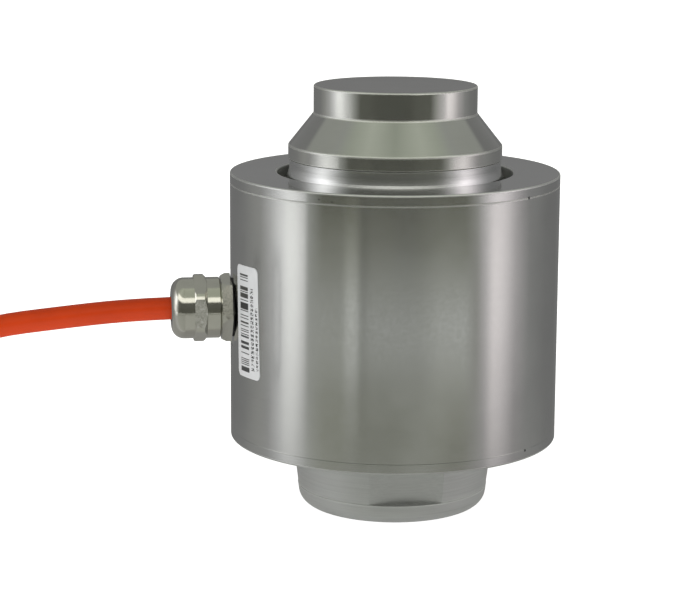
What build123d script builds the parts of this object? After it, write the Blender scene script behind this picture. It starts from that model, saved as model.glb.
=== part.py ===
from build123d import *
import os
from math import cos, pi, radians, sin, sqrt, tan

os.makedirs("parts", exist_ok=True)

# Sizes are in millimetres. The origin is the centre of the foot's underside and the column stands
# along +Z. The cable gland points along -X, and the foot's two flats face +Y and -Y.

# Canister: a tube closed by two welded ring lids
body_radius = 55.0
body_height = 89.8
shell_wall = 7.0
lid_edge = 3.4
lid_register = 5.0
lid_width = 15.7
groove_width = 4.1
rim_round = 0.6
edge_break = 0.4
weld_groove = 0.12
fit_gap = 0.05
cut_margin = 1.0

# Foot, a tapered turned piece with two spanner flats
foot_height = 23.8
foot_step = 0.9
foot_taper = 7.6
foot_round = 5.0
ledge_height = 6.8
ledge_step = 0.15
flat_depth = 2.4
flat_runout = 1.2

# Loading head, one turned and polished piece
head_gap = 4.4
band_overhang = 0.4
band_height = 4.6
cone_height = 10.6
cone_run = 8.4
disc_height = 9.2
head_round = 0.6
cone_round = 0.5
band_chamfer = 0.3

# Measuring column: its neck swells where it enters the groove, and its other radii are smaller than the
# neck's by these steps
neck_swell = 0.7
neck_swell_rise = 1.0
neck_swell_height = 2.0
neck_blend = 6.0
pilot_step = 15.2
pilot_height = 5.0
socket_gap = 0.3
hub_step = 4.6
hub_height = 1.5
waist_blend = 4.5
shoulder_height = 9.0
waist_step = 11.2
foot_spigot_step = 19.2
foot_spigot_height = 6.0
gauge_zone = 36.0
gauge_flat_depth = 3.0

# Corrugated sealing rings in the two grooves
membrane_thickness = 0.8
membrane_seat = 3.3
convolution_radius = 1.7

# Foil strain gauges and their terminals
gauge_width = 8.0
gauge_length = 11.0
gauge_thickness = 0.15
gauge_pitch = 13.0
grid_lines = 6
grid_line_width = 0.5
grid_pitch = 0.95
grid_length = 6.0
foil_thickness = 0.1
tab_size = 1.6
terminal_width = 3.0
terminal_height = 2.0
terminal_thickness = 0.4
terminal_rise = 6.9
gauge_rise = 16.0
lead_spacing = 8.0
wire_radius = 0.25
wire_bend = 1.2

# Bridge board round the column, on spacers that stand on the bottom lid
board_inner_gap = 2.5
board_outer_gap = 0.6
board_thickness = 1.6
spacer_height = 12.0
spacer_radius = 2.2
spacer_count = 4
first_spacer = 45.0
screw_radius = 1.25
screw_grip = 4.0
screw_head_radius = 2.1
screw_head_height = 1.5
screw_slot = 0.5
hole_gap = 0.1
post_radius = 0.6
post_height = 2.2
post_inset = 3.5
cable_post_inset = 13.5
resistor_length = 5.0
resistor_width = 2.6
resistor_height = 1.3
resistor_inset = 11.5
resistor_count = 4
first_resistor = 22.5

# Cable gland, axis along -X, lengths measured outwards from its spot face
gland_rise = 44.7
spot_depth = 0.4
spot_radius = 13.0
thread_radius = 8.0
thread_stop = 0.4
seal_ring_thickness = 0.5
seal_ring_radius = 9.8
hex_flats = 20.0
hex_length = 3.4
hex_end_radius = 10.6
hex_chamfer_angle = 30.0
hex_turn = 50.0
nut_gap = 0.3
nut_length = 16.2
nut_radius = 10.2
nut_flats = 20.5
nut_corner_radius = 11.3
nut_band_start = 4.6
nut_band_length = 4.2
nut_band_chamfer = 1.0
nut_band_front_chamfer = 0.4
nut_turn = 30.0
nut_dome = 4.2
nut_throat_radius = 4.5
nut_throat_length = 2.0
upper_thread_radius = 8.2
upper_thread_length = 7.5
thread_gap = 0.1
cage_radius = 7.0
cage_wall = 1.5
cage_floor = 1.6
cage_finger_count = 8
cage_slot = 0.9
cage_finger_length = 4.4
cage_cone = 1.0

# Cable and its four cores, two of them above the others where they leave the sheath
cable_diameter = 7.6
cable_length = 5000.0
sheath_reach = 8.0
core_count = 4
core_radius = 0.65
core_offset = 1.1
core_spacing = 3.0
core_bend = 1.6
upper_core_reach = 5.0
lower_core_reach = 3.0
core_drop = 10.0

# Coil of the cable, its ties, and the stripped end. The centre is chosen by hand.
coil_centre_x = -257.4
coil_centre_y = 40.0
coil_mid_diameter = 91.0
coil_layers = 6
turn_pitch = 7.7
coil_round = 3.8
coil_skin = 0.3
lead_in = 33.0
last_run = 13.0
tail_length = 36.0
tie_thickness = 0.6
tie_width = 4.5
tie_head = 5.0
tie_azimuths = (70, 250)
bare_core_length = 28.0
bare_core_start = 7.0
bare_core_level = 16.5
bare_core_spread = 1.2
ferrule_radius = 0.95
ferrule_length = 8.0

# Label on the shell
label_width = 15.0
label_height = 37.0
label_corner = 2.0
label_thickness = 0.15
label_azimuth = 69.0
label_rise = 43.5
label_tilt = 2.0

# Heights and radii that follow from the sizes above
body_top = foot_height + body_height
shell_low = foot_height + lid_edge
shell_high = body_top - lid_edge
shell_bore = body_radius - shell_wall
lid_bore = body_radius - lid_width
neck_radius = lid_bore - groove_width
neck_foot_radius = neck_radius + neck_swell
foot_top_radius = neck_radius - foot_step
band_radius = neck_radius + band_overhang
disc_radius = band_radius - cone_run
pilot_radius = neck_radius - pilot_step
hub_radius = neck_radius - hub_step
waist_radius = neck_radius - waist_step
foot_spigot_radius = neck_radius - foot_spigot_step
gauge_flat_distance = waist_radius - gauge_flat_depth
board_inner_radius = waist_radius + board_inner_gap
board_outer_radius = shell_bore - board_outer_gap
spacer_distance = board_outer_radius - spacer_radius
post_distance = board_inner_radius + post_inset
cable_post_distance = board_inner_radius + cable_post_inset
resistor_distance = board_inner_radius + resistor_inset
top_seal = shell_high - lid_register
bottom_seal = shell_low + lid_register
band_low = body_top + head_gap
cone_low = band_low + band_height
disc_low = cone_low + cone_height
head_top = disc_low + disc_height
board_low = bottom_seal + spacer_height
board_high = board_low + board_thickness
post_high = board_high + post_height
terminal_middle = board_high + terminal_rise
gauge_middle = terminal_middle + gauge_rise
gland_height = foot_height + gland_rise
spot_distance = body_radius - spot_depth
cable_radius = cable_diameter / 2
hex_start = seal_ring_thickness
hex_stop = hex_start + hex_length
nut_start = hex_stop + nut_gap
nut_stop = nut_start + nut_length

# Planes and axis of the gland: across it, and a half section through it
gland_face = Plane(origin=(-spot_distance, 0, gland_height), x_dir=(0, -1, 0), z_dir=(-1, 0, 0))
gland_section = Plane(origin=(-spot_distance, 0, gland_height), x_dir=(-1, 0, 0), z_dir=(0, 1, 0))
gland_axis = Axis((-spot_distance, 0, gland_height), (-1, 0, 0))


def outline_face(points):
    """Fills a closed outline of straight edges in the current sketch."""
    with BuildLine() as outline:
        Polyline(*points, close=True)
    make_face(outline.edges())


def corner(section, across, up):
    """The corner of a section that lies nearest to a point."""
    return section.vertices().sort_by_distance((across, up))[0]


def foot_radius(height):
    """Radius of the foot's cone at a height."""
    return foot_top_radius - (foot_height - height) * tan(radians(foot_taper))


def side_plane(angle, distance, height, turn=0):
    """A plane that faces outwards from the column, its first direction level or turned from level."""
    outwards = Vector(cos(radians(angle)), sin(radians(angle)), 0)
    level = Vector(-sin(radians(angle)), cos(radians(angle)), 0)
    across = level * cos(radians(turn)) + Vector(0, 0, sin(radians(turn)))
    return Plane(origin=outwards * distance + Vector(0, 0, height), x_dir=across, z_dir=outwards)


def wire(points, radius, bend):
    """Sweeps a round wire along straight runs joined by arcs, in the current part."""
    with BuildLine() as path:
        FilletPolyline(*points, radius=bend)
    with BuildSketch(Plane(origin=path.line @ 0, z_dir=path.line % 0)) as section:
        Circle(radius)
    sweep(section.sketch, path=path.line)


# Loading head: turned from one bar, with a socket underneath that sits on the column's pilot
with BuildPart() as loading_head:
    with BuildSketch(Plane.XZ) as head_section:
        socket_radius = pilot_radius + fit_gap
        socket_top = band_low + pilot_height + socket_gap
        outline_face([
            (0, socket_top),
            (socket_radius, socket_top),
            (socket_radius, band_low),
            (band_radius, band_low),
            (band_radius, cone_low),
            (disc_radius, disc_low),
            (disc_radius, head_top),
            (0, head_top),
        ])
        fillet(corner(head_section, disc_radius, head_top), head_round)
        fillet(corner(head_section, disc_radius, disc_low), cone_round)
        fillet(corner(head_section, band_radius, cone_low), cone_round)
        chamfer(corner(head_section, band_radius, band_low), band_chamfer)
    revolve(axis=Axis.Z)
loading_head.part.label = "loading_head"
export_step(loading_head.part, "parts/loading_head.step")

# Measuring column: pilot, neck, waist with four flats for the gauges, lower shoulder and spigot
with BuildPart() as measuring_column:
    with BuildSketch(Plane.XZ) as column_section:
        hub_low = top_seal - membrane_thickness - hub_height
        hub_high = bottom_seal + membrane_thickness + hub_height
        outline_face([
            (0, band_low + pilot_height),
            (pilot_radius, band_low + pilot_height),
            (pilot_radius, band_low),
            (neck_radius, band_low),
            (neck_radius, body_top + neck_swell_rise),
            (neck_foot_radius, body_top + neck_swell_rise - neck_swell_height),
            (neck_foot_radius, top_seal),
            (hub_radius, top_seal),
            (hub_radius, hub_low),
            (waist_radius, hub_low - shoulder_height),
            (waist_radius, hub_high + shoulder_height),
            (foot_top_radius, hub_high),
            (foot_top_radius, bottom_seal + membrane_thickness),
            (hub_radius, bottom_seal + membrane_thickness),
            (hub_radius, bottom_seal),
            (foot_spigot_radius, bottom_seal),
            (foot_spigot_radius, bottom_seal - foot_spigot_height),
            (0, bottom_seal - foot_spigot_height),
        ])
        chamfer(corner(column_section, pilot_radius, band_low + pilot_height), edge_break)
        chamfer(corner(column_section, foot_spigot_radius, bottom_seal - foot_spigot_height), edge_break)
        fillet(corner(column_section, neck_radius, body_top + neck_swell_rise), neck_blend)
        waist_corners = [
            corner(column_section, waist_radius, hub_low - shoulder_height),
            corner(column_section, waist_radius, hub_high + shoulder_height),
        ]
        fillet(waist_corners, waist_blend)
    revolve(axis=Axis.Z)
    with BuildSketch(Plane.XY.offset(gauge_middle - gauge_zone / 2)):
        Circle(waist_radius + cut_margin)
        Rectangle(2 * gauge_flat_distance, 2 * gauge_flat_distance, mode=Mode.SUBTRACT)
    extrude(amount=gauge_zone, mode=Mode.SUBTRACT)
measuring_column.part.label = "measuring_column"
export_step(measuring_column.part, "parts/measuring_column.step")

# Top lid: a ring with a register that enters the shell and a rounded rim, welded round its edge
with BuildPart() as top_lid:
    with BuildSketch(Plane.XZ) as top_lid_section:
        outline_face([
            (lid_bore, top_seal),
            (shell_bore - fit_gap, top_seal),
            (shell_bore - fit_gap, shell_high),
            (body_radius, shell_high),
            (body_radius, body_top),
            (lid_bore, body_top),
        ])
        fillet(corner(top_lid_section, body_radius, body_top), rim_round)
        chamfer(corner(top_lid_section, lid_bore, body_top), edge_break)
        chamfer(corner(top_lid_section, body_radius, shell_high), weld_groove)
    revolve(axis=Axis.Z)
top_lid.part.label = "top_lid"
export_step(top_lid.part, "parts/top_lid.step")

# Housing shell: a thick tube with a spot face and a tapped hole for the gland
with BuildPart() as housing_shell:
    with BuildSketch(Plane.XZ) as shell_section:
        outline_face([
            (shell_bore, shell_low),
            (body_radius, shell_low),
            (body_radius, shell_high),
            (shell_bore, shell_high),
        ])
        chamfer(corner(shell_section, body_radius, shell_low), weld_groove)
        chamfer(corner(shell_section, body_radius, shell_high), weld_groove)
    revolve(axis=Axis.Z)
    with BuildSketch(gland_face):
        Circle(spot_radius)
    extrude(amount=2 * spot_depth, mode=Mode.SUBTRACT)
    with BuildSketch(gland_face):
        Circle(thread_radius + fit_gap)
    extrude(amount=-2 * shell_wall, mode=Mode.SUBTRACT)
housing_shell.part.label = "housing_shell"
export_step(housing_shell.part, "parts/housing_shell.step")

# Bottom lid: the same kind of ring, round the foot
with BuildPart() as bottom_lid:
    with BuildSketch(Plane.XZ) as bottom_lid_section:
        outline_face([
            (lid_bore, foot_height),
            (body_radius, foot_height),
            (body_radius, shell_low),
            (shell_bore - fit_gap, shell_low),
            (shell_bore - fit_gap, bottom_seal),
            (lid_bore, bottom_seal),
        ])
        fillet(corner(bottom_lid_section, body_radius, foot_height), rim_round)
        chamfer(corner(bottom_lid_section, lid_bore, foot_height), edge_break)
        chamfer(corner(bottom_lid_section, body_radius, shell_low), weld_groove)
    revolve(axis=Axis.Z)
bottom_lid.part.label = "bottom_lid"
export_step(bottom_lid.part, "parts/bottom_lid.step")


def membrane_section(seat, inner_edge, outer_edge, side):
    """Section of a sealing ring that lies against a seat height, with its fold on one side of it."""
    middle = (inner_edge + outer_edge) / 2
    fold = convolution_radius + membrane_thickness
    inner, outer = hub_radius + fit_gap, outer_edge + membrane_seat
    with Locations(((inner + outer) / 2, seat + side * membrane_thickness / 2)):
        Rectangle(outer - inner, membrane_thickness)
    with Locations((middle, seat)):
        Circle(fold)
        Circle(convolution_radius, mode=Mode.SUBTRACT)
        with Locations((0, -side * fold)):
            Rectangle(2 * fold, 2 * fold, mode=Mode.SUBTRACT)


# Top membrane: thin ring with one fold, welded under the lid and under the column's neck
with BuildPart() as top_membrane:
    with BuildSketch(Plane.XZ):
        membrane_section(top_seal, neck_foot_radius, lid_bore, -1)
    revolve(axis=Axis.Z)
top_membrane.part.label = "top_membrane"
export_step(top_membrane.part, "parts/top_membrane.step")

# Bottom membrane: its twin, held between the foot and the column and welded to the bottom lid
with BuildPart() as bottom_membrane:
    with BuildSketch(Plane.XZ):
        membrane_section(bottom_seal, foot_top_radius, lid_bore, 1)
    revolve(axis=Axis.Z)
bottom_membrane.part.label = "bottom_membrane"
export_step(bottom_membrane.part, "parts/bottom_membrane.step")

# Foot: a cone that widens upwards, rounded below, with a ledge under its two tilted flats
with BuildPart() as foot:
    with BuildSketch(Plane.XZ) as foot_section:
        outline_face([
            (0, 0),
            (foot_radius(0) + ledge_step, 0),
            (foot_radius(ledge_height) + ledge_step, ledge_height),
            (foot_radius(ledge_height), ledge_height),
            (foot_top_radius, foot_height),
            (foot_top_radius, bottom_seal),
            (foot_spigot_radius + fit_gap, bottom_seal),
            (foot_spigot_radius + fit_gap, bottom_seal - foot_spigot_height - socket_gap),
            (0, bottom_seal - foot_spigot_height - socket_gap),
        ])
        fillet(corner(foot_section, foot_radius(0) + ledge_step, 0), foot_round)
    revolve(axis=Axis.Z)
    for side in (1, -1):
        with BuildSketch(Plane.YZ):
            outline_face([
                (side * (foot_radius(ledge_height) - flat_depth), ledge_height),
                (side * (foot_radius(foot_height + flat_runout) - flat_depth), foot_height + flat_runout),
                (side * body_radius, foot_height + flat_runout),
                (side * body_radius, ledge_height),
            ])
        extrude(amount=foot_top_radius, both=True, mode=Mode.SUBTRACT)
foot.part.label = "foot"
export_step(foot.part, "parts/foot.step")

# Strain gauges: two on each flat, one along the column and one across it, each a film with a foil grid
with BuildPart() as strain_gauges:
    for flat in range(4):
        for rise, turn in ((gauge_pitch / 2, 0), (-gauge_pitch / 2, 90)):
            film = side_plane(90 * flat, gauge_flat_distance, gauge_middle + rise, turn)
            with BuildSketch(film):
                Rectangle(gauge_width, gauge_length)
            extrude(amount=gauge_thickness)
            with BuildSketch(film.offset(gauge_thickness)):
                with GridLocations(grid_pitch, 0, grid_lines, 1):
                    Rectangle(grid_line_width, grid_length)
                for line in range(grid_lines - 1):
                    end = grid_length / 2 if line % 2 else -grid_length / 2
                    with Locations(((line + 1 - grid_lines / 2) * grid_pitch, end)):
                        Rectangle(grid_pitch + grid_line_width, grid_line_width)
                for side in (-1, 1):
                    with Locations((side * (grid_lines - 1) / 2 * grid_pitch, (grid_length + tab_size) / 2)):
                        Rectangle(tab_size, tab_size)
            extrude(amount=foil_thickness)
strain_gauges.part.label = "strain_gauges"
export_step(strain_gauges.part, "parts/strain_gauges.step")

# Solder terminals: two below the gauges of each flat
with BuildPart() as gauge_terminals:
    for flat in range(4):
        with BuildSketch(side_plane(90 * flat, gauge_flat_distance, terminal_middle)):
            with GridLocations(lead_spacing, 0, 2, 1):
                Rectangle(terminal_width, terminal_height)
        extrude(amount=terminal_thickness)
gauge_terminals.part.label = "gauge_terminals"
export_step(gauge_terminals.part, "parts/gauge_terminals.step")

# Bridge board: a ring of board material round the column
with BuildPart() as bridge_board:
    with BuildSketch(Plane.XY.offset(board_low)):
        Circle(board_outer_radius)
        Circle(board_inner_radius, mode=Mode.SUBTRACT)
        with PolarLocations(spacer_distance, spacer_count, start_angle=first_spacer):
            Circle(screw_radius + hole_gap, mode=Mode.SUBTRACT)
    extrude(amount=board_thickness)
bridge_board.part.label = "bridge_board"
export_step(bridge_board.part, "parts/bridge_board.step")

# Board spacers: tapped pillars on the bottom lid
with BuildPart() as board_spacers:
    with BuildSketch(Plane.XY.offset(bottom_seal)):
        with PolarLocations(spacer_distance, spacer_count, start_angle=first_spacer):
            Circle(spacer_radius)
    extrude(amount=spacer_height)
    with BuildSketch(Plane.XY.offset(board_low)):
        with PolarLocations(spacer_distance, spacer_count, start_angle=first_spacer):
            Circle(screw_radius + hole_gap)
    extrude(amount=-(screw_grip + socket_gap), mode=Mode.SUBTRACT)
board_spacers.part.label = "board_spacers"
export_step(board_spacers.part, "parts/board_spacers.step")

# Board screws: slotted heads on the board, shanks in the spacers
with BuildPart() as board_screws:
    with BuildSketch(Plane.XY.offset(board_high)):
        with PolarLocations(spacer_distance, spacer_count, start_angle=first_spacer):
            Circle(screw_head_radius)
    extrude(amount=screw_head_height)
    with BuildSketch(Plane.XY.offset(board_high)):
        with PolarLocations(spacer_distance, spacer_count, start_angle=first_spacer):
            Circle(screw_radius)
    extrude(amount=-(board_thickness + screw_grip))
    with BuildSketch(Plane.XY.offset(board_high + screw_head_height)):
        with PolarLocations(spacer_distance, spacer_count, start_angle=first_spacer):
            Rectangle(3 * screw_head_radius, screw_slot)
    extrude(amount=-screw_head_height / 2, mode=Mode.SUBTRACT)
board_screws.part.label = "board_screws"
export_step(board_screws.part, "parts/board_screws.step")

# Trim resistors: flat blocks soldered to the board between the posts
with BuildPart() as trim_resistors:
    with BuildSketch(Plane.XY.offset(board_high)):
        with PolarLocations(resistor_distance, resistor_count, start_angle=first_resistor):
            Rectangle(resistor_width, resistor_length)
    extrude(amount=resistor_height)
trim_resistors.part.label = "trim_resistors"
export_step(trim_resistors.part, "parts/trim_resistors.step")

# Solder posts: a pair before each flat for the gauges, and a row of four for the cable's cores
core_rows = [(row - (core_count - 1) / 2) * core_spacing for row in range(core_count)]
upper_rows = (0, core_count - 1)
with BuildPart() as board_posts:
    with BuildSketch(Plane.XY.offset(board_high)):
        for flat in range(4):
            post_row = side_plane(90 * flat, post_distance, 0)
            for side in (-1, 1):
                spot = post_row.from_local_coords((side * lead_spacing / 2, 0, 0))
                with Locations((spot.X, spot.Y)):
                    Circle(post_radius)
        for row in core_rows:
            with Locations((-cable_post_distance, row)):
                Circle(post_radius)
    extrude(amount=post_height)
board_posts.part.label = "board_posts"
export_step(board_posts.part, "parts/board_posts.step")

# Bridge wires: from each terminal out over the board and down onto its post
with BuildPart() as bridge_wires:
    wire_start = gauge_flat_distance + terminal_thickness
    for flat in range(4):
        across = side_plane(90 * flat, 0, 0)
        for side in (-1, 1):
            radial = Plane(
                origin=across.from_local_coords((side * lead_spacing / 2, 0, 0)),
                x_dir=across.z_dir,
                z_dir=-across.x_dir,
            )
            route = [
                (wire_start, terminal_middle),
                ((wire_start + post_distance) / 2, terminal_middle),
                (post_distance, terminal_middle - 2 * wire_bend),
                (post_distance, post_high),
            ]
            wire([radial.from_local_coords((a, b, 0)) for a, b in route], wire_radius, wire_bend)
bridge_wires.part.label = "bridge_wires"
export_step(bridge_wires.part, "parts/bridge_wires.step")

# Gland sealing ring: between the hexagon and the shell's spot face
with BuildPart() as gland_seal_ring:
    with BuildSketch(gland_face):
        Circle(seal_ring_radius)
        Circle(thread_radius + hole_gap, mode=Mode.SUBTRACT)
    extrude(amount=seal_ring_thickness)
gland_seal_ring.part.label = "gland_seal_ring"
export_step(gland_seal_ring.part, "parts/gland_seal_ring.step")

# Gland body: a chamfered hexagon between its lower thread and its upper thread, bored for the cable
cage_start = hex_stop + cage_floor
body_stop = hex_stop + upper_thread_length
with BuildPart() as gland_body:
    with BuildSketch(gland_face.offset(hex_start)):
        RegularPolygon(hex_flats / 2, 6, major_radius=False, rotation=hex_turn)
    extrude(amount=hex_length)
    with BuildSketch(gland_section):
        corner_radius = hex_flats / sqrt(3)
        outline_face([
            (hex_start, 0),
            (hex_start, corner_radius),
            (hex_stop - (corner_radius - hex_end_radius) / tan(radians(hex_chamfer_angle)), corner_radius),
            (hex_stop, hex_end_radius),
            (hex_stop, 0),
        ])
    revolve(axis=gland_axis, mode=Mode.INTERSECT)
    with BuildSketch(gland_section) as spigot_section:
        outline_face([
            (thread_stop - shell_wall + spot_depth, 0),
            (thread_stop - shell_wall + spot_depth, thread_radius),
            (hex_start, thread_radius),
            (hex_stop, upper_thread_radius),
            (body_stop, upper_thread_radius),
            (body_stop, 0),
        ])
        chamfer(corner(spigot_section, thread_stop - shell_wall + spot_depth, thread_radius), edge_break)
        chamfer(corner(spigot_section, body_stop, upper_thread_radius), edge_break)
    revolve(axis=gland_axis)
    with BuildSketch(gland_section):
        outline_face([
            (-shell_wall, 0),
            (-shell_wall, cable_radius + hole_gap),
            (cage_start, cable_radius + hole_gap),
            (cage_start, cage_radius + fit_gap),
            (body_stop + cut_margin, cage_radius + fit_gap),
            (body_stop + cut_margin, 0),
        ])
    revolve(axis=gland_axis, mode=Mode.SUBTRACT)
gland_body.part.label = "gland_body"
export_step(gland_body.part, "parts/gland_body.step")

# Gland clamping cage: a plastic tube whose front is slotted into fingers that the nut's cone presses in
cage_stop = body_stop + cage_finger_length
with BuildPart() as gland_clamp_cage:
    with BuildSketch(gland_section):
        outline_face([
            (cage_start, cage_radius - cage_wall),
            (cage_stop, cage_radius - cage_wall - cage_cone),
            (cage_stop, cage_radius - cage_cone),
            (body_stop, cage_radius),
            (cage_start, cage_radius),
        ])
    revolve(axis=gland_axis)
    with BuildSketch(gland_face.offset(body_stop)):
        with PolarLocations(cage_radius, cage_finger_count, start_angle=360 / cage_finger_count / 2):
            Rectangle(cage_radius + cage_wall, cage_slot)
    extrude(amount=cage_finger_length + cut_margin, mode=Mode.SUBTRACT)
gland_clamp_cage.part.label = "gland_clamp_cage"
export_step(gland_clamp_cage.part, "parts/gland_clamp_cage.step")

# Gland sealing sleeve: soft tube between the cage and the cable
with BuildPart() as gland_seal_sleeve:
    with BuildSketch(gland_section):
        sleeve_radius = cage_radius - cage_wall - hole_gap
        outline_face([
            (cage_start, cable_radius + fit_gap),
            (cage_start, sleeve_radius),
            (cage_stop, sleeve_radius - cage_cone),
            (cage_stop, cable_radius + fit_gap),
        ])
    revolve(axis=gland_axis)
gland_seal_sleeve.part.label = "gland_seal_sleeve"
export_step(gland_seal_sleeve.part, "parts/gland_seal_sleeve.step")

# Gland dome nut: round nut with a hexagon band and a domed end, hollow for the cage and the thread
band_start = nut_start + nut_band_start
band_stop = band_start + nut_band_length
with BuildPart() as gland_dome_nut:
    with BuildSketch(gland_face.offset(band_start)):
        RegularPolygon(nut_flats / 2, 6, major_radius=False, rotation=nut_turn)
    extrude(amount=nut_band_length)
    with BuildSketch(gland_section):
        outline_face([
            (band_start, 0),
            (band_start, nut_radius),
            (band_start + nut_band_chamfer, nut_corner_radius),
            (band_stop - nut_band_front_chamfer, nut_corner_radius),
            (band_stop, nut_corner_radius - nut_band_front_chamfer),
            (band_stop, 0),
        ])
    revolve(axis=gland_axis, mode=Mode.INTERSECT)
    with BuildSketch(gland_section) as nut_section:
        outline_face([
            (nut_start, 0),
            (nut_start, nut_radius),
            (nut_stop, nut_radius),
            (nut_stop, 0),
        ])
        chamfer(corner(nut_section, nut_start, nut_radius), edge_break)
        fillet(corner(nut_section, nut_stop, nut_radius), nut_dome)
    revolve(axis=gland_axis)
    with BuildSketch(gland_section) as nut_bore:
        nut_bore_radius = upper_thread_radius + thread_gap
        throat_start = nut_stop - nut_throat_length
        outline_face([
            (nut_start - cut_margin, 0),
            (nut_start - cut_margin, nut_bore_radius),
            (body_stop + cut_margin, nut_bore_radius),
            (cage_stop, cage_radius - cage_cone + hole_gap),
            (throat_start, nut_throat_radius),
            (nut_stop + cut_margin, nut_throat_radius),
            (nut_stop + cut_margin, 0),
        ])
    revolve(axis=gland_axis, mode=Mode.SUBTRACT)
gland_dome_nut.part.label = "gland_dome_nut"
export_step(gland_dome_nut.part, "parts/gland_dome_nut.step")

# Cable sheath inside the gland: a straight stretch from the shell's inside to the dome nut's mouth
with BuildPart() as cable_sheath_inside:
    with BuildSketch(gland_face.offset(-sheath_reach)):
        Circle(cable_radius)
    extrude(amount=sheath_reach + nut_stop)
cable_sheath_inside.part.label = "cable_sheath_inside"
export_step(cable_sheath_inside.part, "parts/cable_sheath_inside.step")

# Cable cores: four insulated wires from the sheath's inner end down to their posts
with BuildPart() as cable_cores:
    sheath_end = -(spot_distance - sheath_reach)
    for row, core_y in enumerate(core_rows):
        above = row in upper_rows
        start_y = core_offset if core_y > 0 else -core_offset
        start_z = gland_height + (core_offset if above else -core_offset)
        reach = upper_core_reach if above else lower_core_reach
        wire(
            [
                (sheath_end, start_y, start_z),
                (sheath_end + reach, start_y, start_z),
                (-cable_post_distance, core_y, gland_height - core_drop),
                (-cable_post_distance, core_y, post_high),
            ],
            core_radius,
            core_bend,
        )
cable_cores.part.label = "cable_cores"
export_step(cable_cores.part, "parts/cable_cores.step")

# Cable run: from the dome nut's mouth, sagging, down and round onto the coil's top layer. The coil's
# width follows from the turns that the rest of the cable's length makes.
near_length = -(coil_centre_x + lead_in) - (spot_distance + nut_stop)
wound_length = cable_length - near_length - lead_in - tail_length
layer_turns = wound_length / (pi * coil_mid_diameter) / coil_layers
coil_low = tie_thickness
coil_spread = layer_turns / 2 * turn_pitch
outer_turn = coil_mid_diameter / 2 + coil_spread
inner_turn = coil_mid_diameter / 2 - coil_spread
low_turn_z = coil_low + coil_skin + cable_radius
top_turn_z = low_turn_z + (coil_layers - 1) * turn_pitch
coil_entry = (coil_centre_x + lead_in, coil_centre_y - outer_turn, top_turn_z)
cable_route = [
    (-(spot_distance + nut_stop), 0, gland_height),
    (-90.0, 0.0, gland_height),
    (-113.0, 0.0, 66.6),
    (-134.0, 0.0, 64.0),
    (-153.6, -2.2, 58.2),
    (-170.6, -5.6, 51.2),
    (-185.8, -9.8, 46.3),
    (-199.2, -13.8, 43.9),
    (coil_entry[0] + last_run, coil_entry[1], coil_entry[2]),
    coil_entry,
]
corner_radii = []
for before, here, after in zip(cable_route, cable_route[1:], cable_route[2:]):
    run_in = Vector(*here) - Vector(*before)
    run_out = Vector(*after) - Vector(*here)
    half_turn = radians(run_in.get_angle(run_out)) / 2
    corner_radii.append(0.45 * min(run_in.length, run_out.length) / tan(half_turn))
with BuildPart() as cable_run:
    with BuildLine() as run_line:
        FilletPolyline(*cable_route, radius=corner_radii)
    with BuildSketch(Plane(origin=run_line.line @ 0, z_dir=run_line.line % 0)):
        Circle(cable_radius)
    sweep()
cable_run.part.label = "cable_run"
export_step(cable_run.part, "parts/cable_run.step")
print("bend radii of the run", [round(radius, 1) for radius in corner_radii])
run_length = sum(edge.length for edge in run_line.edges())
print("length of the run", round(run_length, 1), "its volume", round(cable_run.part.volume))
print("turns in a layer", round(layer_turns, 2), "wound", round(wound_length), "of", cable_length)
print("section times length", round(pi * cable_radius**2 * run_length))

# Cable coil: the outer form of the wound turns, with the straight lead-in and the free end
coil_inside = inner_turn - cable_radius - coil_skin
coil_outside = outer_turn + cable_radius + coil_skin
coil_high = top_turn_z + cable_radius + coil_skin
coil_axis = Axis((coil_centre_x, coil_centre_y, 0), (0, 0, 1))
coil_section_plane = Plane(origin=(coil_centre_x, coil_centre_y, 0), x_dir=(1, 0, 0), z_dir=(0, -1, 0))
tail_x = coil_centre_x - outer_turn
tail_y = coil_centre_y + tail_length
with BuildPart() as cable_coil:
    with BuildSketch(coil_section_plane):
        with Locations(((coil_inside + coil_outside) / 2, (coil_low + coil_high) / 2)):
            RectangleRounded(coil_outside - coil_inside, coil_high - coil_low, coil_round)
    revolve(axis=coil_axis)
    with BuildSketch(Plane(origin=coil_entry, x_dir=(0, 1, 0), z_dir=(-1, 0, 0))):
        Circle(cable_radius)
    extrude(amount=lead_in)
    with BuildSketch(Plane(origin=(tail_x, coil_centre_y, low_turn_z), x_dir=(1, 0, 0), z_dir=(0, 1, 0))):
        Circle(cable_radius)
    extrude(amount=tail_length)
cable_coil.part.label = "cable_coil"
export_step(cable_coil.part, "parts/cable_coil.step")

# Coil ties: two straps round the coil's turns, each with its lock on the outside
with BuildPart() as coil_ties:
    strap_angle = 360 * tie_width / (pi * coil_mid_diameter)
    for azimuth in tie_azimuths:
        turn = radians(azimuth - strap_angle / 2)
        with BuildSketch(Plane(
                origin=(coil_centre_x, coil_centre_y, 0),
                x_dir=(cos(turn), sin(turn), 0),
                z_dir=(sin(turn), -cos(turn), 0))):
            with Locations(((coil_inside + coil_outside) / 2, (coil_low + coil_high) / 2)):
                RectangleRounded(
                    coil_outside - coil_inside + 2 * tie_thickness,
                    coil_high - coil_low + 2 * tie_thickness,
                    coil_round + tie_thickness,
                )
                RectangleRounded(
                    coil_outside - coil_inside, coil_high - coil_low, coil_round, mode=Mode.SUBTRACT)
            with Locations((coil_outside + tie_thickness + tie_head / 4, (coil_low + coil_high) / 2)):
                Rectangle(tie_head / 2, tie_head)
        revolve(axis=coil_axis, revolution_arc=strap_angle)
coil_ties.part.label = "coil_ties"
export_step(coil_ties.part, "parts/coil_ties.step")

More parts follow.
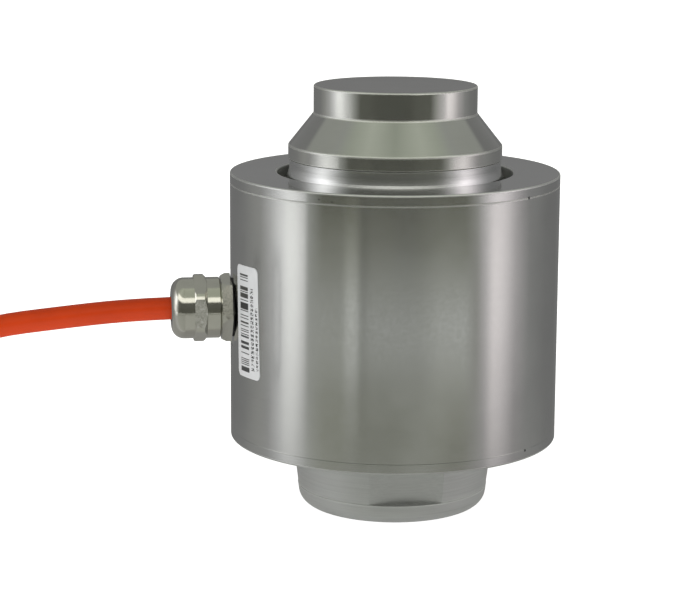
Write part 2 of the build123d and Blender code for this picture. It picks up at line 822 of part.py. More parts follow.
# Bare cores at the cable's free end: they droop from the sheath's cut to the ground and spread
ground_z = ferrule_radius + hole_gap
core_ends = []
with BuildPart() as lead_cores:
    for row, core_y in enumerate(core_rows):
        start_x = tail_x + (core_offset if core_y > 0 else -core_offset)
        start_z = low_turn_z + (core_offset if row in upper_rows else -core_offset)
        stop_x = tail_x + bare_core_spread * core_y
        stop = (stop_x, tail_y + bare_core_length, ground_z)
        core_ends.append(stop)
        wire(
            [
                (start_x, tail_y, start_z),
                (start_x, tail_y + bare_core_start, start_z),
                (stop_x, tail_y + bare_core_level, ground_z),
                stop,
            ],
            core_radius,
            core_bend,
        )
lead_cores.part.label = "lead_cores"
export_step(lead_cores.part, "parts/lead_cores.step")

# Ferrules: crimped sleeves on the ends of the bare cores
with BuildPart() as lead_ferrules:
    for stop in core_ends:
        with BuildSketch(Plane(origin=stop, x_dir=(1, 0, 0), z_dir=(0, 1, 0))):
            Circle(ferrule_radius)
        extrude(amount=ferrule_length)
lead_ferrules.part.label = "lead_ferrules"
export_step(lead_ferrules.part, "parts/lead_ferrules.step")

# Label: a thin sticker with rounded corners, wrapped on the shell beside the gland
with BuildPart() as label:
    label_middle = foot_height + label_rise
    with BuildSketch(Plane.XY.offset(label_middle - label_height)):
        Circle(body_radius + fit_gap / 2 + label_thickness)
        Circle(body_radius + fit_gap / 2, mode=Mode.SUBTRACT)
    extrude(amount=2 * label_height)
    with BuildSketch(side_plane(-90 - label_azimuth, 0, label_middle, label_tilt)):
        RectangleRounded(label_width, label_height, label_corner)
    extrude(amount=2 * body_radius, mode=Mode.INTERSECT)
label.part.label = "label"
export_step(label.part, "parts/label.step")
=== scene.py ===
from math import cos, pi, radians, sin

import bmesh
import bpy
from mathutils import Matrix, Vector


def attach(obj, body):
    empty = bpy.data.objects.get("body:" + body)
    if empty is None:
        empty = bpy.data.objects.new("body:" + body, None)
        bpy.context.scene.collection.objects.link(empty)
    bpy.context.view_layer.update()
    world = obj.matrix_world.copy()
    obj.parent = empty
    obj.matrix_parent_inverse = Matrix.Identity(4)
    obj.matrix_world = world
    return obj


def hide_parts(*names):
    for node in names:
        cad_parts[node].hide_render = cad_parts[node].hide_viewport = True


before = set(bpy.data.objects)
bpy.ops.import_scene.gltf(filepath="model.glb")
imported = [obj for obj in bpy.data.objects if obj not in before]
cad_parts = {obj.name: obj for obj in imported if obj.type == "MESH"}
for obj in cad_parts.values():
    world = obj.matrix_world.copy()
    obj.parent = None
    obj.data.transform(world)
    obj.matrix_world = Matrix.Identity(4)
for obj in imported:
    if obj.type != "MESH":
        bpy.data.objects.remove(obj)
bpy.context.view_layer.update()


# Measuring column. The heart of the cell, turned from one bar of hardened stainless steel. Its neck
# shows between the head and the lid; the four milled flats inside carry the gauges. It is ground.
def new_finish(name):
    """An empty material with its node maker, its joiner and its shader."""
    material = bpy.data.materials.new(name)
    material.use_nodes = True
    tree = material.node_tree

    def node(kind, inputs=None, **settings):
        made = tree.nodes.new("ShaderNode" + kind)
        for key, value in settings.items():
            setattr(made, key, value)
        for socket, value in (inputs or {}).items():
            if isinstance(value, bpy.types.NodeSocket):
                tree.links.new(value, made.inputs[socket])
            else:
                made.inputs[socket].default_value = value
        return made

    def join(output, target):
        tree.links.new(output, target)

    return material, node, join, tree.nodes["Principled BSDF"]


def turned_steel(name, colour, shine, marks, pitch, haze, edges=(), knocks=()):
    """Turned steel: fine rings round the axis, smudges, painted highlights and painted light on listed
    edges and hollows, dark knocks.
    """
    material, node, join, shader = new_finish(name)
    place = node("TexCoord").outputs["Object"]
    apart = node("SeparateXYZ", {"Vector": place})
    turn = node("Math", {0: apart.outputs["Y"], 1: apart.outputs["X"]}, operation="ARCTAN2")
    level = node("CombineXYZ", {"X": apart.outputs["X"], "Y": apart.outputs["Y"]})
    reach = node("VectorMath", {0: level.outputs[0]}, operation="LENGTH")
    # The marks are long round the axis and narrow along it; their pitch is in millimetres
    marks_a_metre, marks_round = 1000 / pitch, 1.3
    wound = node("CombineXYZ", {
        "X": node("Math", {0: turn.outputs[0], 1: marks_round}, operation="MULTIPLY").outputs[0],
        "Y": node("Math", {0: apart.outputs["Z"], 1: marks_a_metre}, operation="MULTIPLY").outputs[0],
        "Z": node("Math", {0: reach.outputs["Value"], 1: marks_a_metre}, operation="MULTIPLY").outputs[0],
    })
    rings = node("TexNoise", {"Vector": wound.outputs[0], "Scale": 1.0, "Detail": 4.0, "Roughness": 0.6})
    smudge = node("TexNoise", {"Vector": place, "Scale": 38.0, "Detail": 5.0, "Roughness": 0.55})
    speck = node("TexNoise", {"Vector": place, "Scale": 900.0, "Detail": 2.0})
    tone = node("MapRange", {
        "Value": smudge.outputs["Fac"], "From Min": 0.3, "From Max": 0.7, "To Min": 0.94, "To Max": 1.04})
    fine = node("MapRange", {
        "Value": rings.outputs["Fac"], "From Min": 0.3, "From Max": 0.7,
        "To Min": 1 - marks / 2, "To Max": 1 + marks / 2})
    shade = node("Math", {0: tone.outputs[0], 1: fine.outputs[0]}, operation="MULTIPLY")
    # Painted highlights on listed edges and painted light in hollows, uneven, and more roughness there
    edge_light_near, edge_light_far, painted_edge_lift, edge_light_rougher = 0.0003, 0.0006, 0.28, 0.34
    outline = node("CombineXYZ", {"X": reach.outputs["Value"], "Y": apart.outputs["Z"]})
    painted_edge_light_mask = None
    for radius, height in edges:
        away = node("VectorMath", {0: outline.outputs[0], 1: (radius, height, 0.0)}, operation="DISTANCE")
        edge = node("MapRange", {
            "Value": away.outputs["Value"], "From Min": edge_light_near, "From Max": edge_light_far,
            "To Min": 1.0, "To Max": 0.0}).outputs[0]
        painted_edge_light_mask = edge if painted_edge_light_mask is None else node("Math", {0: painted_edge_light_mask, 1: edge}, operation="MAXIMUM").outputs[0]
    if painted_edge_light_mask is not None:
        patchy = node("MapRange", {
            "Value": smudge.outputs["Fac"], "From Min": 0.3, "From Max": 0.6,
            "To Min": 0.55, "To Max": 1.0})
        painted_edge_light_mask = node("Math", {0: painted_edge_light_mask, 1: patchy.outputs[0]}, operation="MULTIPLY").outputs[0]
        # The painted highlight and painted light: the colour is lifted where the mask lies
        shade = node("Math", {0: painted_edge_light_mask, 1: painted_edge_lift, 2: shade.outputs[0]}, operation="MULTIPLY_ADD")
    knock_shade = 0.12
    for *spot, size in knocks:
        away = node("VectorMath", {0: place, 1: spot}, operation="DISTANCE")
        dark = node("MapRange", {
            "Value": away.outputs["Value"], "From Min": 0.4 * size, "From Max": size,
            "To Min": knock_shade, "To Max": 1.0})
        shade = node("Math", {0: shade.outputs[0], 1: dark.outputs[0]}, operation="MULTIPLY")
    tint = node("VectorMath", {0: colour, "Scale": shade.outputs[0]}, operation="SCALE")
    join(tint.outputs[0], shader.inputs["Base Color"])
    rough = node("MapRange", {
        "Value": smudge.outputs["Fac"], "From Min": 0.25, "From Max": 0.75,
        "To Min": shine, "To Max": shine + haze})
    rougher = node("Math", {0: speck.outputs["Fac"], 1: 0.05, 2: rough.outputs[0]},
                   operation="MULTIPLY_ADD")
    if painted_edge_light_mask is not None:
        rougher = node("Math", {0: painted_edge_light_mask, 1: edge_light_rougher, 2: rougher.outputs[0]}, operation="MULTIPLY_ADD")
    join(rougher.outputs[0], shader.inputs["Roughness"])
    bump = node("Bump", {"Strength": marks, "Distance": 0.00002, "Height": rings.outputs["Fac"]})
    join(bump.outputs[0], shader.inputs["Normal"])
    shader.inputs["Metallic"].default_value = 1.0
    return material


def finish_with(material, *pieces):
    """Gives pieces one material on all their faces."""
    for piece in pieces:
        piece.data.materials.clear()
        piece.data.materials.append(material)


column_steel = turned_steel("column_steel", (0.68, 0.685, 0.68), 0.18, 0.08, 0.3, 0.06)
finish_with(column_steel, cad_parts["measuring_column"])


# Strain gauges, terminals and wires. Polyimide film with etched foil, bonded to the column's flats;
# tinned terminals below, and enamelled copper wires that run to the board.
def plain_finish(name, colour, shine, metal=0.0, grain_size=300.0, spread=0.12, relief=0.1):
    """A moulded, coated or drawn finish: a fine grain in its colour, gloss and surface."""
    material, node, join, shader = new_finish(name)
    place = node("TexCoord").outputs["Object"]
    cloud = node("TexNoise", {"Vector": place, "Scale": grain_size / 6, "Detail": 4.0, "Roughness": 0.6})
    grit = node("TexNoise", {"Vector": place, "Scale": grain_size * 4, "Detail": 2.0})
    shade = node("MapRange", {
        "Value": cloud.outputs["Fac"], "From Min": 0.3, "From Max": 0.7,
        "To Min": 1 - spread, "To Max": 1 + spread})
    tint = node("VectorMath", {0: colour, "Scale": shade.outputs[0]}, operation="SCALE")
    join(tint.outputs[0], shader.inputs["Base Color"])
    rough = node("MapRange", {
        "Value": grit.outputs["Fac"], "From Min": 0.3, "From Max": 0.7,
        "To Min": shine, "To Max": shine + 0.1})
    join(rough.outputs[0], shader.inputs["Roughness"])
    bump = node("Bump", {"Strength": relief, "Distance": 0.00003, "Height": grit.outputs["Fac"]})
    join(bump.outputs[0], shader.inputs["Normal"])
    shader.inputs["Metallic"].default_value = metal
    return material


finish_with(plain_finish("gauge_film", (0.52, 0.28, 0.09), 0.35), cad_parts["strain_gauges"])
tinned = plain_finish("tinned", (0.62, 0.62, 0.60), 0.3, metal=1.0, relief=0.3)
finish_with(tinned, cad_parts["gauge_terminals"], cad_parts["board_posts"])
finish_with(plain_finish("enamelled_copper", (0.55, 0.20, 0.07), 0.25, metal=0.8),
            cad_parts["bridge_wires"])


# Bridge board. A ring of glass-fibre board under green resist, on four plated spacers with slotted
# screws; flat resistors trim the bridge.
resin = plain_finish("board_resin", (0.015, 0.11, 0.04), 0.3, relief=0.2)
finish_with(resin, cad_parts["bridge_board"])
plated = plain_finish("plated_steel", (0.60, 0.60, 0.57), 0.25, metal=1.0)
finish_with(plated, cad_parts["board_spacers"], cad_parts["board_screws"])
finish_with(plain_finish("resistor_ceramic", (0.03, 0.03, 0.035), 0.5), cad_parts["trim_resistors"])


# Foot. Turned from the same steel and left as machined: the tool's rings and the mill's streaks show.
# Two flats are milled in it for a spanner, with a ledge below them.
# Painted light: the ledge under the flats is painted brighter against its shade, and the foot's top edge
# takes a painted highlight.
ledge = [(radius, 0.0068) for radius in (0.0321, 0.0314, 0.0307, 0.0300)]
foot_steel = turned_steel(
    "foot_steel", (0.52, 0.53, 0.515), 0.42, 0.12, 0.5, 0.10, edges=((0.0343, 0.0250), *ledge))
foot_steel.node_tree.nodes["Principled BSDF"].inputs["Metallic"].default_value = 0.80
finish_with(foot_steel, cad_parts["foot"])


# Lids and sealing rings. The lids are bright, turned rings, welded round their rims and dressed flush.
# The thin corrugated rings that close the two grooves are welded at both edges and left dull.
# The lids and the shell carry a few small knocks, each given as its place and its size.
small_knocks = (
    (0.0369, -0.0408, 0.1101, 0.0007),
    (0.0374, -0.0403, 0.0269, 0.0006),
    (-0.0311, -0.0453, 0.1114, 0.0003),
    (-0.0273, -0.0477, 0.1109, 0.0003),
)
# Painted light: the bore's wall down into the groove is painted brighter against its shade; the rims and
# the bore's lip take a painted highlight.
bore_wall = [(0.0393, height) for height in (0.1127, 0.1119, 0.1111, 0.1103)]
lid_steel = turned_steel(
    "lid_steel", (0.56, 0.565, 0.55), 0.08, 0.045, 0.3, 0.03, knocks=small_knocks,
    edges=((0.0549, 0.1134), (0.0549, 0.0240), (0.0394, 0.1135), *bore_wall))
finish_with(lid_steel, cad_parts["top_lid"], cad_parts["bottom_lid"])
membrane_steel = turned_steel("membrane_steel", (0.68, 0.68, 0.66), 0.55, 0.05, 0.3, 0.10)
membrane_steel.node_tree.nodes["Principled BSDF"].inputs["Metallic"].default_value = 0.3
finish_with(membrane_steel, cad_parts["top_membrane"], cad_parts["bottom_membrane"])


# Housing shell. A thick-walled stainless tube, brushed round its side on the lathe, with a spot face
# and a tapped hole for the gland. The brushing draws its highlights into soft upright bands.
# The shell's top edge takes a painted highlight.
shell_steel = turned_steel(
    "shell_steel", (0.56, 0.565, 0.545), 0.09, 0.035, 0.25, 0.035, knocks=small_knocks,
    edges=((0.0550, 0.1102),))
finish_with(shell_steel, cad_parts["housing_shell"])


# Loading head. One turned piece, polished like a mirror because the load rests on it: a disc on a cone
# on a short band, seated on the column's pilot.
# The head's disc, cone and band edges take a painted highlight.
head_steel = turned_steel(
    "head_steel", (0.58, 0.585, 0.555), 0.06, 0.03, 0.3, 0.03,
    edges=((0.0271, 0.1422), (0.0272, 0.1332), (0.0355, 0.1226), (0.0355, 0.1180)))
finish_with(head_steel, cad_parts["loading_head"])


# Cable gland. Body and dome nut are turned from nickel-plated brass. Between them a slotted plastic
# cage squeezes a rubber sleeve onto the cable, and a rubber ring seals the body on its spot face.
nickel = plain_finish("nickel_plate", (0.60, 0.59, 0.53), 0.08, metal=1.0, grain_size=500.0, spread=0.05)
finish_with(nickel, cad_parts["gland_body"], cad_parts["gland_dome_nut"])
black_rubber = plain_finish("black_rubber", (0.012, 0.012, 0.012), 0.55, relief=0.4)
finish_with(black_rubber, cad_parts["gland_seal_ring"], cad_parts["gland_seal_sleeve"])
finish_with(plain_finish("cage_plastic", (0.04, 0.04, 0.045), 0.45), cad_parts["gland_clamp_cage"])


# Label. A white film sticker with rounded corners, pressed onto the shell beside the gland. It carries
# plain bars and two rows of small marks, printed black.
label_width, label_height = 0.015, 0.037
label_corner, label_thickness = 0.002, 0.00015
label_radius, label_middle = 0.055025, 0.0673
label_azimuth, label_tilt = radians(-159), radians(2.0)
label_strips = 24
label = bmesh.new()
corners = [
    label.verts.new((x * label_width / 2, 0, z * label_height / 2))
    for x, z in ((-1, -1), (1, -1), (1, 1), (-1, 1))
]
label.faces.new(corners)
bmesh.ops.bevel(
    label, geom=corners, offset=label_corner, affect="VERTICES", segments=6, profile=0.5, material=-1)
for step in range(1, label_strips):
    bmesh.ops.bisect_plane(
        label, geom=label.verts[:] + label.edges[:] + label.faces[:],
        plane_co=((step / label_strips - 0.5) * label_width, 0, 0), plane_no=(1, 0, 0))
print_place = label.loops.layers.uv.new("print")
for face in label.faces:
    for loop in face.loops:
        loop[print_place].uv = (
            loop.vert.co.x / label_width + 0.5, loop.vert.co.z / label_height + 0.5)
for vert in label.verts:
    x = vert.co.x * cos(label_tilt) - vert.co.z * sin(label_tilt)
    z = vert.co.x * sin(label_tilt) + vert.co.z * cos(label_tilt)
    turn = label_azimuth + x / label_radius
    vert.co = (label_radius * cos(turn), label_radius * sin(turn), label_middle + z)
bmesh.ops.recalc_face_normals(label, faces=label.faces)
if sum((face.normal.x * face.calc_center_median().x + face.normal.y * face.calc_center_median().y)
       for face in label.faces) < 0:
    bmesh.ops.reverse_faces(label, faces=label.faces)
bmesh.ops.solidify(label, geom=label.faces, thickness=-label_thickness)


def placed(name, mesh):
    """Puts a finished mesh in the scene, smooth but for its sharp edges, riding on the cell."""
    data = bpy.data.meshes.new(name)
    mesh.to_mesh(data)
    mesh.free()
    for face in data.polygons:
        face.use_smooth = True
    data.set_sharp_from_angle(angle=radians(30))
    piece = bpy.data.objects.new(name, data)
    bpy.context.scene.collection.objects.link(piece)
    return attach(piece, "root")


sticker = placed("label_sticker", label)
label_film, node, join, shader = new_finish("label_film")
place = node("UVMap", uv_map="print").outputs[0]
flat = node("SeparateXYZ", {"Vector": place})
u, v = flat.outputs["X"], flat.outputs["Y"]


def within(value, low, high):
    """1 where a value lies between two limits, and 0 elsewhere."""
    above = node("Math", {0: value, 1: low}, operation="GREATER_THAN").outputs[0]
    below = node("Math", {0: value, 1: high}, operation="LESS_THAN").outputs[0]
    return node("Math", {0: above, 1: below}, operation="MULTIPLY").outputs[0]


def product(first, second):
    """One value times another."""
    return node("Math", {0: first, 1: second}, operation="MULTIPLY").outputs[0]


# Bars across the sticker's length, then two rows of marks beside them, drawn or left out by a hash
bar_places, mark_columns, mark_lines, mark_groups = 118.0, 50.0, 105.0, 26.25
bar_cell = node("Math", {0: product(v, bar_places)}, operation="FLOOR").outputs[0]
bar_pick = node("TexWhiteNoise", {"W": bar_cell}, noise_dimensions="1D").outputs["Value"]
bars = product(node("Math", {0: bar_pick, 1: 0.48}, operation="GREATER_THAN").outputs[0],
               product(within(u, 0.17, 0.58), within(v, 0.05, 0.94)))
mark_cell = node("CombineXYZ", {
    "X": node("Math", {0: product(u, mark_columns)}, operation="FLOOR").outputs[0],
    "Y": node("Math", {0: product(v, mark_lines)}, operation="FLOOR").outputs[0]})
mark_hash = node("TexWhiteNoise", {"Vector": mark_cell.outputs[0]}, noise_dimensions="2D")
mark_pick = mark_hash.outputs["Value"]
mark_step = node("Math", {0: product(v, mark_groups)}, operation="FRACT").outputs[0]
mark_gap = node("Math", {0: mark_step, 1: 0.72}, operation="LESS_THAN").outputs[0]
mark_rows = node("Math", {
    0: product(within(u, 0.67, 0.80), within(v, 0.07, 0.81)),
    1: product(within(u, 0.87, 0.96), within(v, 0.08, 0.65))}, operation="ADD").outputs[0]
mark_drawn = node("Math", {0: mark_pick, 1: 0.40}, operation="GREATER_THAN").outputs[0]
marks = product(product(mark_drawn, mark_gap), mark_rows)
ink = node("Math", {0: bars, 1: marks}, operation="MAXIMUM").outputs[0]
wear = node("TexNoise", {"Vector": node("TexCoord").outputs["Object"], "Scale": 260.0, "Detail": 3.0})
paper = node("MapRange", {"Value": wear.outputs["Fac"], "To Min": 0.58, "To Max": 0.68}).outputs[0]
film = node("Mix", {"Factor": ink, "A": paper, "B": 0.035}, data_type="FLOAT")
tinted = node("VectorMath", {0: (0.975, 1.0, 1.03), "Scale": film.outputs[0]}, operation="SCALE")
join(tinted.outputs[0], shader.inputs["Base Color"])
join(node("MapRange", {"Value": wear.outputs["Fac"], "To Min": 0.32, "To Max": 0.45}).outputs[0],
     shader.inputs["Roughness"])
join(node("Bump", {"Strength": 0.1, "Distance": 0.00003, "Height": wear.outputs["Fac"]}).outputs[0],
     shader.inputs["Normal"])
finish_with(label_film, sticker)
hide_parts("label")


# Signal cable. Four screened cores in a smooth orange sheath, 7.6 mm across and 5 m long. It comes
# straight out of the dome nut, sags to the ground and is wound up beyond the picture's left edge.
# Its end is stripped.
cable_diameter = 0.0076
nut_mouth = (-0.075, 0.0, 0.0685)
coil_centre = (-0.2574, 0.040)
outer_turn, inner_turn = 0.05623, 0.0330
top_layer, layer_drop, layers = 0.0432, 0.0077, 6
lead_in, lead_bend, tail = 0.033, 0.013, 0.036
route = [
    nut_mouth,
    (-0.0900, 0.0, 0.0682),
    (-0.1130, 0.0, 0.0660),
    (-0.1340, 0.0, 0.0637),
    (-0.1536, -0.0022, 0.0582),
    (-0.1706, -0.0056, 0.0512),
    (-0.1858, -0.0098, 0.0463),
    (-0.1992, -0.0138, 0.0439),
    (coil_centre[0] + lead_in + lead_bend, coil_centre[1] - outer_turn, top_layer),
    (coil_centre[0] + lead_in, coil_centre[1] - outer_turn, top_layer),
]
# The cable winds inwards in one layer and outwards in the next, and steps down between them. The
# points lie a little outside the curve that they draw.
points_a_turn, turns, step_down, point_reach = 16, 17.25, 0.30, 1.012
travel = (turns - (layers - 1) * step_down) / layers
for point in range(int(points_a_turn * turns) + 1):
    done = point / points_a_turn
    layer = min(int(done / (travel + step_down)), layers - 1)
    within_layer = done - layer * (travel + step_down)
    share = min(within_layer / travel, 1.0)
    fall = max(within_layer - travel, 0.0) / step_down
    inwards = share if layer % 2 == 0 else 1 - share
    radius = (outer_turn + (inner_turn - outer_turn) * inwards) * point_reach
    angle = radians(-90) - 2 * pi * done
    route.append((
        coil_centre[0] + radius * cos(angle),
        coil_centre[1] + radius * sin(angle),
        top_layer - layer_drop * (layer + fall),
    ))
end_x = coil_centre[0] - outer_turn
route += [
    (end_x, coil_centre[1] + 0.6 * tail, 0.0045),
    (end_x, coil_centre[1] + tail, 0.0044),
]
line = bpy.data.curves.new("signal_cable", "CURVE")
line.dimensions = "3D"
line.bevel_depth = 1.0
line.bevel_resolution = 8
line.resolution_u = 4
line.use_fill_caps = True
path = line.splines.new("NURBS")
path.points.add(len(route) - 1)
for knot, spot in zip(path.points, route):
    knot.co = (*spot, 1.0)
    knot.radius = cable_diameter / 2
path.order_u = 3
path.use_endpoint_u = True
cable = bpy.data.objects.new("signal_cable", line)
bpy.context.scene.collection.objects.link(cable)
cable.visible_glossy = False
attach(cable, "root")
sheath, node, join, shader = new_finish("orange_sheath")
place = node("TexCoord").outputs["Object"]
cloud = node("TexNoise", {"Vector": place, "Scale": 60.0, "Detail": 4.0, "Roughness": 0.6})
grit = node("TexNoise", {"Vector": place, "Scale": 1500.0, "Detail": 2.0})
shade = node("MapRange", {
    "Value": cloud.outputs["Fac"], "From Min": 0.3, "From Max": 0.7, "To Min": 0.93, "To Max": 1.06})
orange = node("VectorMath", {0: (0.56, 0.042, 0.001), "Scale": shade.outputs[0]}, operation="SCALE")
join(orange.outputs[0], shader.inputs["Base Color"])
join(node("MapRange", {"Value": cloud.outputs["Fac"], "To Min": 0.36, "To Max": 0.5}).outputs[0],
     shader.inputs["Roughness"])
join(node("Bump", {"Strength": 0.12, "Distance": 0.00004, "Height": grit.outputs["Fac"]}).outputs[0],
     shader.inputs["Normal"])
shader.inputs["Specular IOR Level"].default_value = 0.25
line.materials.append(sheath)
finish_with(sheath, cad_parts["cable_sheath_inside"])
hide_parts("cable_run", "cable_coil")


# Bare cores, ferrules and ties. The stripped cores fan out on the ground, each crimped in a tinned
# sleeve, and two black straps hold the coil.
core_grey = plain_finish("core_insulation", (0.30, 0.30, 0.29), 0.4)
finish_with(core_grey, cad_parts["cable_cores"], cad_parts["lead_cores"])
finish_with(tinned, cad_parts["lead_ferrules"])
finish_with(plain_finish("tie_plastic", (0.015, 0.015, 0.016), 0.4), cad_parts["coil_ties"])


# The place where it stands: a plain white floor, a soft surround with a long lamp on each side, and a
# camera at eye height with a long lens.
ground = bmesh.new()
bmesh.ops.create_grid(ground, x_segments=1, y_segments=1, size=12.0)
ground_data = bpy.data.meshes.new("ground")
ground.to_mesh(ground_data)
ground.free()
floor = bpy.data.objects.new("ground", ground_data)
bpy.context.scene.collection.objects.link(floor)
floor.visible_glossy = False
paint, node, join, shader = new_finish("white_floor")
spread = node("TexNoise", {"Vector": node("TexCoord").outputs["Object"], "Scale": 3.0})
white = node("MapRange", {"Value": spread.outputs["Fac"], "To Min": 0.80, "To Max": 0.82}).outputs[0]
join(node("CombineColor", {"Red": white, "Green": white, "Blue": white}).outputs[0],
     shader.inputs["Base Color"])
shader.inputs["Roughness"].default_value = 1.0
shader.inputs["Specular IOR Level"].default_value = 0.0
shader.inputs["Emission Color"].default_value = (1, 1, 1, 1)
shader.inputs["Emission Strength"].default_value = 0.86
finish_with(paint, floor)

# The surround, by the way it is faced from the cell. Angles are measured from the camera's side,
# positive rightwards.
camera_side, glow_strength = radians(99), 4.0
world = bpy.data.worlds.new("surround")
bpy.context.scene.world = world
world.use_nodes = True
sky = world.node_tree
faced = sky.nodes.new("ShaderNodeTexCoord")
turned = sky.nodes.new("ShaderNodeMapping")
turned.vector_type = "POINT"
turned.inputs["Rotation"].default_value = (0, 0, camera_side)
sky.links.new(faced.outputs["Generated"], turned.inputs["Vector"])
round_about = sky.nodes.new("ShaderNodeTexGradient")
round_about.gradient_type = "RADIAL"
sky.links.new(turned.outputs[0], round_about.inputs["Vector"])


def surround_ramp(stops):
    """A ramp of colours round the horizon, from (degrees from the camera's side, colour)."""
    ramp = sky.nodes.new("ShaderNodeValToRGB")
    places = ramp.color_ramp.elements
    for at, (turn, colour) in enumerate(stops):
        position = 0.5 + turn / 360
        stop = places[at] if at < 2 else places.new(position)
        if at < 2:
            stop.position = position
        stop.color = (*[value / glow_strength for value in colour], 1)
    sky.links.new(round_about.outputs["Fac"], ramp.inputs["Fac"])
    return ramp.outputs["Color"]


def surround(lamp, front, blue, nearer=0, left=0, beside=1.15, streak=0.0, dip=0.0, back=0.20):
    """What is faced low round the cell: a dim room before it, a long lamp on each side, grey behind."""
    # In degrees, nearer brings both lamps to the front and left brings the left one. The rest shade the
    # room: beside next to the lamps, streak and dip before the cell, back behind it.
    near = (front * 0.98, front, front * blue)
    far_side = [value * 1.22 for value in near]
    side = [value * beside for value in near]
    light = [value * (1 + streak) for value in near]
    dark = [value * (1 - 0.45 * streak) for value in near]
    dim = [value * (1 - dip) for value in near]
    shift = nearer + left
    return surround_ramp([
        (-180, (back, back, back)),
        (180, (back, back, back)),
        (-155, (back, back, back)),
        (-130, (0.26, 0.26, 0.26)),
        (-116 + shift, (0.38, 0.38, 0.37)),
        (-105 + shift, (0.42 * lamp, 0.42 * lamp, 0.42 * lamp)),
        (-94 + shift, (0.74 * lamp, 0.74 * lamp, 0.75 * lamp)),
        (-88 + shift, (lamp, lamp, lamp)),
        (-81 + shift, (lamp, lamp, lamp)),
        (-73 + shift, (0.66 * lamp, 0.66 * lamp, 0.66 * lamp)),
        (-62, (0.44, 0.45, 0.43)),
        (-50, side),
        (-36, side),
        (-31, light),
        (-26, light),
        (-22, dark),
        (-15, near),
        (-4, near),
        (4, dim),
        (11, dim),
        (19, near),
        (32, far_side),
        (50, far_side),
        (59, (0.40, 0.40, 0.38)),
        (72 - nearer, (0.54 * lamp, 0.52 * lamp, 0.53 * lamp)),
        (79 - nearer, (0.96 * lamp, 0.90 * lamp, 0.92 * lamp)),
        (86 - nearer, (0.86 * lamp, 0.81 * lamp, 0.83 * lamp)),
        (99 - nearer, (0.44 * lamp, 0.42 * lamp, 0.43 * lamp)),
        (114 - nearer, (0.32, 0.32, 0.32)),
        (130, (0.24, 0.24, 0.24)),
        (150, (back, back, back)),
    ])


floor_glow = surround_ramp([
    (-180, (0.34, 0.34, 0.33)),
    (180, (0.34, 0.34, 0.33)),
    (-105, (0.40, 0.40, 0.39)),
    (-82, (0.56, 0.56, 0.56)),
    (-60, (0.46, 0.47, 0.44)),
    (-30, (0.44, 0.45, 0.42)),
    (0, (0.41, 0.42, 0.39)),
    (22, (0.50, 0.51, 0.48)),
    (42, (0.34, 0.34, 0.32)),
    (82, (0.36, 0.35, 0.35)),
    (105, (0.34, 0.34, 0.33)),
])
low_round = surround(0.94, 0.17, 0.70, nearer=6, left=1, beside=1.30)
table_round = surround(1.22, 0.70, 1.00, nearer=6, left=4, beside=0.94, streak=0.50)
eye_round = surround(1.44, 0.15, 0.64, nearer=6, left=4, beside=1.20, streak=0.60, dip=0.25)
lid_round = surround(0.62, 0.10, 0.86, nearer=0, left=4)
neck_round = surround(1.90, 0.12, 0.88, nearer=10)
band_round = surround(0.76, 0.10, 0.92, nearer=2)
head_round = surround(1.38, 0.12, 0.86, left=-1)
high_round = surround(1.85, 0.13, 0.90, back=0.25)
panel = surround_ramp([
    (-180, (0.38, 0.39, 0.37)),
    (180, (0.38, 0.39, 0.37)),
    (-85, (0.40, 0.41, 0.38)),
    (-65, (1.50, 1.50, 1.40)),
    (65, (1.40, 1.40, 1.30)),
    (85, (0.40, 0.41, 0.38)),
])
ceiling = surround_ramp([
    (-180, (0.38, 0.39, 0.37)),
    (180, (0.38, 0.39, 0.37)),
    (-95, (0.39, 0.40, 0.38)),
    (-78, (0.45, 0.48, 0.41)),
    (-52, (0.57, 0.60, 0.52)),
    (0, (0.42, 0.45, 0.38)),
    (52, (0.55, 0.58, 0.50)),
    (78, (0.45, 0.48, 0.41)),
    (95, (0.39, 0.40, 0.38)),
])
height = sky.nodes.new("ShaderNodeSeparateXYZ")
sky.links.new(faced.outputs["Generated"], height.inputs[0])


def over(low, high, colour, other):
    """Passes from one colour to another between two heights of view, as sines of the angle."""
    raised = sky.nodes.new("ShaderNodeMapRange")
    raised.interpolation_type = "SMOOTHSTEP"
    raised.inputs["From Min"].default_value = low
    raised.inputs["From Max"].default_value = high
    sky.links.new(height.outputs["Z"], raised.inputs["Value"])
    both = sky.nodes.new("ShaderNodeMix")
    both.data_type = "RGBA"
    sky.links.new(raised.outputs[0], both.inputs[0])
    sky.links.new(colour, both.inputs[6])
    sky.links.new(other, both.inputs[7])
    return both.outputs[2]


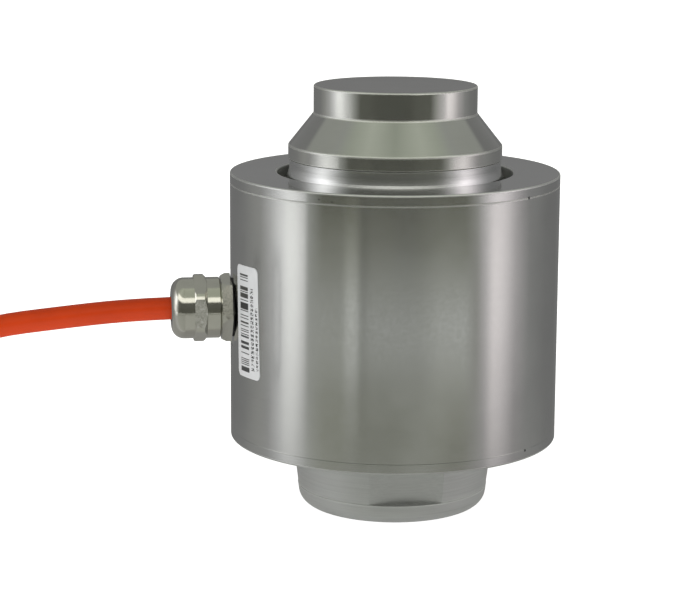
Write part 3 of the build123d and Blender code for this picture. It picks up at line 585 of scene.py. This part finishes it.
# From the floor upwards: the heights of view between which each part takes over
glow_round = floor_glow
for low, high, part in (
    (-0.272, -0.260, low_round),
    (-0.232, -0.225, table_round),
    (-0.198, -0.180, eye_round),
    (-0.160, -0.156, lid_round),
    (-0.152, -0.150, neck_round),
    (-0.141, -0.138, band_round),
    (-0.126, -0.120, head_round),
    (0.118, 0.136, high_round),
    (0.466, 0.536, panel),
    (0.72, 0.77, ceiling),
):
    glow_round = over(low, high, glow_round, part)
glow = sky.nodes["Background"]
glow.inputs["Strength"].default_value = glow_strength
sky.links.new(glow_round, glow.inputs["Color"])


def soft_lamp(name, place, power):
    """A lamp a metre square that lights matt things; the steel doesn't mirror it."""
    lamp = bpy.data.lights.new(name, "AREA")
    lamp.shape = "SQUARE"
    lamp.size = 1.0
    lamp.energy = power
    lit = bpy.data.objects.new(name, lamp)
    bpy.context.scene.collection.objects.link(lit)
    lit.location = place
    lit.rotation_euler = (cell_middle - Vector(place)).to_track_quat("-Z", "Y").to_euler()
    lit.visible_glossy = False


cell_middle = Vector((0, 0, 0.07))
soft_lamp("lamp_left", (-1.3, -0.9, 1.0), 4.2)
soft_lamp("lamp_right", (1.2, -1.0, 1.1), 2.6)

eye = bpy.data.cameras.new("eye")
eye.lens = 120.93
eye.sensor_width = 36.0
eye.clip_end = 60.0
watcher = bpy.data.objects.new("eye", eye)
bpy.context.scene.collection.objects.link(watcher)
bpy.context.scene.camera = watcher
# The cell is turned a little to the camera, whose stand is measured in radii of the shell: its way
# off and its rise over the lid's rim
part_turn = radians(9.0)
yaw, pitch, roll = -0.023694, -0.198192, 0.0049475
body_radius, rim_height = 0.055, 0.1131
way_off, rise = 13.7527, 1.96944
ahead = Vector((sin(yaw) * cos(pitch), cos(yaw) * cos(pitch), sin(pitch)))
sideways = Vector((cos(yaw), -sin(yaw), 0))
upright = sideways.cross(ahead)
right = sideways * cos(roll) + upright * sin(roll)
upwards = upright * cos(roll) - sideways * sin(roll)
stand = Vector((0, -way_off * body_radius, rise * body_radius + rim_height))
about = Matrix.Rotation(-part_turn, 4, "Z")
pose = Matrix((
    (right.x, upwards.x, -ahead.x, stand.x),
    (right.y, upwards.y, -ahead.y, stand.y),
    (right.z, upwards.z, -ahead.z, stand.z),
    (0, 0, 0, 1),
))
watcher.matrix_world = about @ pose

bpy.context.scene.view_settings.view_transform = "Standard"
